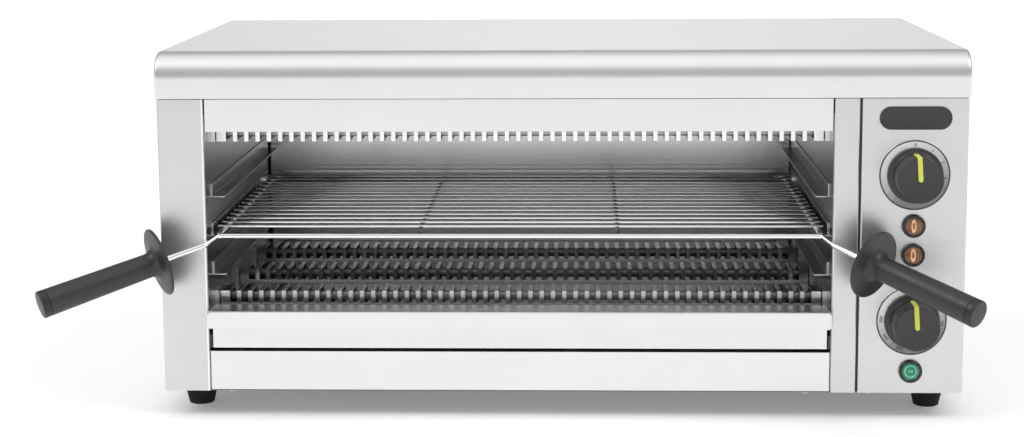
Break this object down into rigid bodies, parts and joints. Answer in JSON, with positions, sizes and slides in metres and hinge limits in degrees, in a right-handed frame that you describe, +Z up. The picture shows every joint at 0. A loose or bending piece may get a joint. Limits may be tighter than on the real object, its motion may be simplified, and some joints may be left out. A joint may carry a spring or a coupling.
{
  "type": "cheese melter",
  "caption": "Counter-top electric cheese melter: open-fronted steel cabinet with slotted element guards, a sliding wire grid with side handles, a crumb tray and a control column.",
  "frame": {"origin": "bottom centre of the whole envelope, handles and cable gland included, on the floor", "axes": "+X to the viewer's right, towards the controls; +Y to the back; +Z up"},
  "size_m": [0.6894, 0.4447, 0.28],
  "materials": {
    "steel_cover": "brushed",
    "steel_panel": "brushed",
    "steel_base": "satin",
    "steel_rail": "brushed",
    "steel_tray": "brushed",
    "steel_cavity": "satin",
    "steel_runner": "satin",
    "steel_guard": "satin",
    "element_sheath": "matte",
    "zinc_fixing": "satin",
    "grid_chrome": "polished",
    "grip_plastic": "satin",
    "plate_black": "satin",
    "dial_silver": "satin",
    "knob_plastic": "satin",
    "pointer_yellow": "matte",
    "switch_plastic": "matte",
    "capillary_copper": "satin",
    "bezel_black": "gloss",
    "lens_amber": "gloss",
    "lens_green": "gloss",
    "wool": "matte",
    "foot_rubber": "matte"
  },
  "bodies": {
    "cabinet": {"top_cover": "steel_cover", "left_side_panel": "steel_panel", "right_side_panel": "steel_panel", "rear_panel": "steel_panel", "base_plate": "steel_base", "front_header": "steel_panel", "front_rail": "steel_rail", "lower_front_panel": "steel_panel", "centre_post": "steel_panel", "control_panel": "steel_panel", "cavity_left_wall": "steel_cavity", "cavity_right_wall": "steel_cavity", "cavity_back_wall": "steel_cavity", "cavity_ceiling": "steel_cavity", "cavity_deck": "steel_cavity", "insulation": "wool", "left_runners": "steel_runner", "right_runners": "steel_runner", "top_guard_front": "steel_guard", "top_guard_middle": "steel_guard", "top_guard_rear": "steel_guard", "bottom_guard_front": "steel_guard", "bottom_guard_middle": "steel_guard", "bottom_guard_rear": "steel_guard", "guard_end_tabs": "steel_guard", "top_elements": "element_sheath", "bottom_elements": "element_sheath", "element_bushes": "zinc_fixing", "tray_runners": "steel_cavity", "nameplate": "plate_black", "selector_dial": "dial_silver", "selector_switch": "switch_plastic", "thermostat_dial": "dial_silver", "thermostat_body": "switch_plastic", "thermostat_bulb": "capillary_copper", "lamp_bezels": "bezel_black", "amber_lenses": "lens_amber", "green_lens": "lens_green", "lamp_bodies": "switch_plastic", "terminal_strip": "switch_plastic", "cable_gland": "switch_plastic", "front_left_foot": "foot_rubber", "front_right_foot": "foot_rubber", "rear_left_foot": "foot_rubber", "rear_right_foot": "foot_rubber", "foot_screws": "zinc_fixing", "rear_screws": "zinc_fixing", "base_screws": "zinc_fixing"},
    "grid": {"grid_frame": "grid_chrome", "grid_wires": "grid_chrome", "left_grip": "grip_plastic", "right_grip": "grip_plastic", "grip_end_caps": "grip_plastic"},
    "tray": {"crumb_tray": "steel_tray"},
    "selector": {"selector_knob": "knob_plastic", "selector_pointer": "pointer_yellow", "selector_shaft": "zinc_fixing"},
    "thermostat": {"thermostat_knob": "knob_plastic", "thermostat_pointer": "pointer_yellow", "thermostat_shaft": "zinc_fixing"}
  },
  "joints": [
    {"name": "grid_slide", "type": "slide", "parent": "cabinet", "child": "grid", "axis": [0, -1, 0], "range_m": [0, 0.2]},
    {"name": "tray_slide", "type": "slide", "parent": "cabinet", "child": "tray", "axis": [0, -1, 0], "range_m": [0, 0.25]},
    {"name": "selector_turn", "type": "hinge", "parent": "cabinet", "child": "selector", "pos_m": [0.30422, -0.12261, 0.1871], "axis": [0, 1, 0], "range_deg": [0, 90]},
    {"name": "thermostat_turn", "type": "hinge", "parent": "cabinet", "child": "thermostat", "pos_m": [0.30422, -0.12261, 0.0761], "axis": [0, 1, 0], "range_deg": [0, 290]}
  ]
}
